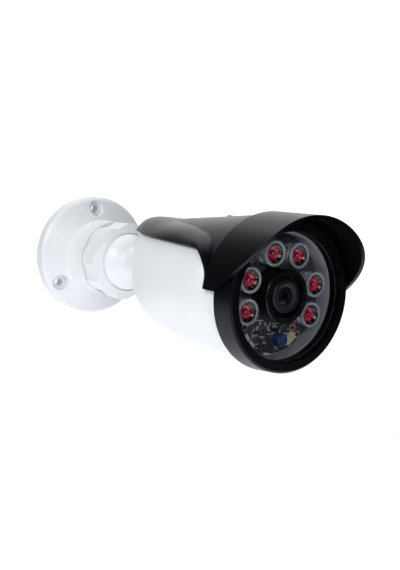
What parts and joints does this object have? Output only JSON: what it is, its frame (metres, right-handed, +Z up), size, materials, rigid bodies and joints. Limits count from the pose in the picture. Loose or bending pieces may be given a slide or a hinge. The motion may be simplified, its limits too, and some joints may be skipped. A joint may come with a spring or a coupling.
{
  "type": "bullet security camera",
  "caption": "Weatherproof bullet camera with infrared lamps round its lens, a black sunshield over a white housing, and a ball-jointed wall bracket with a lock nut.",
  "frame": {"origin": "centre of the wall plate's back face, on the bracket's axis, where the three wall screws' circle meets the wall", "axes": "-Y is the way the camera looks, straight out from the wall, +Z is up, +X is to the right of someone who faces the camera's window"},
  "size_m": [0.0722, 0.1961, 0.07],
  "materials": {
    "white_abs": "gloss",
    "black_abs": "satin, very fine grain",
    "grey_trim": "satin",
    "clear_window": "polished",
    "clear_cup": "clear, polished",
    "lamp_epoxy": "clear red, polished",
    "board_black": "solder mask",
    "rubber_black": "matt",
    "foam_black": "closed-cell foam",
    "lens_black": "fine matt",
    "lens_glass": "coated",
    "filter_pane": "coated",
    "liner_nylon": "satin",
    "steel": "bright",
    "black_steel": "satin",
    "brass": "bright",
    "photocell_blue": "satin",
    "ivory_plastic": "satin",
    "chip_black": "matt",
    "copper_coil": "enamelled wire"
  },
  "bodies": {
    "bracket": {"wall_plate": "white_abs", "wall_gasket": "foam_black"},
    "nut": {"lock_nut": "white_abs"},
    "liner": {"ball_liner": "liner_nylon"},
    "stem": {"ball_stem": "white_abs", "stem_nut": "steel", "stem_seal": "rubber_black"},
    "lens": {"lens_barrel": "lens_black", "lens_front_glass": "lens_glass", "lens_rear_glass": "lens_glass"},
    "filter": {"filter_carrier": "lens_black", "filter_glass": "filter_pane", "clear_pane": "clear_window"},
    "head": {"rear_housing": "white_abs", "sunshield": "black_abs", "sunshield_screw": "black_steel", "bezel_ring": "black_abs", "bezel_seal": "rubber_black", "window_glass": "clear_window", "window_tape": "foam_black", "trim_ring": "grey_trim", "led_board": "board_black", "photocell": "photocell_blue", "led_socket": "ivory_plastic", "light_shield": "rubber_black", "lens_holder": "lens_black", "filter_coil": "copper_coil", "sensor_board": "board_black", "image_sensor": "chip_black", "video_socket": "ivory_plastic", "board_standoffs": "brass", "board_screws": "steel", "led_cup_1": "clear_cup", "led_1": "lamp_epoxy", "led_cup_2": "clear_cup", "led_2": "lamp_epoxy", "led_cup_3": "clear_cup", "led_3": "lamp_epoxy", "led_cup_4": "clear_cup", "led_4": "lamp_epoxy", "led_cup_5": "clear_cup", "led_5": "lamp_epoxy", "led_cup_6": "clear_cup", "led_6": "lamp_epoxy"}
  },
  "joints": [
    {"name": "bracket_swivel", "type": "hinge", "parent": "bracket", "child": "liner", "pos_m": [0, -0.0394, 0], "axis": [0, 1, 0], "range_deg": [-180, 180]},
    {"name": "ball_tilt", "type": "hinge", "parent": "liner", "child": "stem", "pos_m": [0, -0.0394, 0], "axis": [1, 0, 0], "range_deg": [-30, 30]},
    {"name": "head_roll", "type": "hinge", "parent": "stem", "child": "head", "pos_m": [0, -0.0764, 0], "axis": [0, 1, 0], "range_deg": [-180, 180]},
    {"name": "lock_nut_turn", "type": "hinge", "parent": "bracket", "child": "nut", "pos_m": [0, -0.0394, 0], "axis": [0, -1, 0], "range_deg": [0, 120]},
    {"name": "lens_focus", "type": "hinge", "parent": "head", "child": "lens", "pos_m": [0, -0.1724, -0.001], "axis": [0, -1, 0], "range_deg": [-180, 180]},
    {"name": "filter_shift", "type": "slide", "parent": "head", "child": "filter", "axis": [1, 0, 0], "range_m": [-0.0085, 0]}
  ]
}
